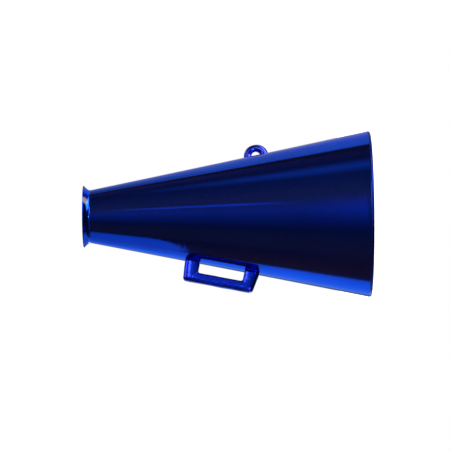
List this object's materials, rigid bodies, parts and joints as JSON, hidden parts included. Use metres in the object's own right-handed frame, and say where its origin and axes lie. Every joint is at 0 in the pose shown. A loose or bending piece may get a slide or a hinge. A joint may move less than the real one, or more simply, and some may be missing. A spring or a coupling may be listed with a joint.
{
  "type": "cheer megaphone",
  "caption": "Hand-held cheer megaphone: a deep blue mirror-finish metal cone with a flared mouthpiece, a rectangular side handle and a small lanyard loop.",
  "frame": {"origin": "centre of the bell opening, in the plane of the bell edge it stands on", "axes": "+Z along the cone's axis from the bell to the mouthpiece, -X out through the handle, +X out through the lanyard loop"},
  "size_m": [0.2938, 0.2938, 0.508],
  "materials": {
    "blue_cone": "clear blue lacquer over polished spun sheet, mirror gloss",
    "blue_mouthpiece": "clear blue lacquer over a polished turning, mirror gloss",
    "blue_casting": "clear blue lacquer over a polished casting, slightly uneven mirror gloss",
    "steel_wire": "drawn, bright",
    "bare_aluminium": "satin, machined",
    "steel_fixings": "zinc plated, satin",
    "black_rubber": "matte"
  },
  "bodies": {
    "root": {"cone_shell": "blue_cone", "mouthpiece": "blue_mouthpiece", "handle": "blue_casting", "loop": "blue_casting", "bell_hoop": "steel_wire", "neck_collar": "bare_aluminium", "mouthpiece_seal": "black_rubber", "handle_gasket_1": "black_rubber", "handle_backplate_1": "bare_aluminium", "handle_washer_1": "steel_fixings", "handle_screw_1": "steel_fixings", "loop_gasket_1": "black_rubber", "loop_washer_1": "steel_fixings", "loop_screw_1": "steel_fixings", "handle_gasket_2": "black_rubber", "handle_backplate_2": "bare_aluminium", "handle_washer_2": "steel_fixings", "handle_screw_2": "steel_fixings", "loop_gasket_2": "black_rubber", "loop_washer_2": "steel_fixings", "loop_screw_2": "steel_fixings", "loop_backplate": "bare_aluminium"}
  },
  "joints": []
}
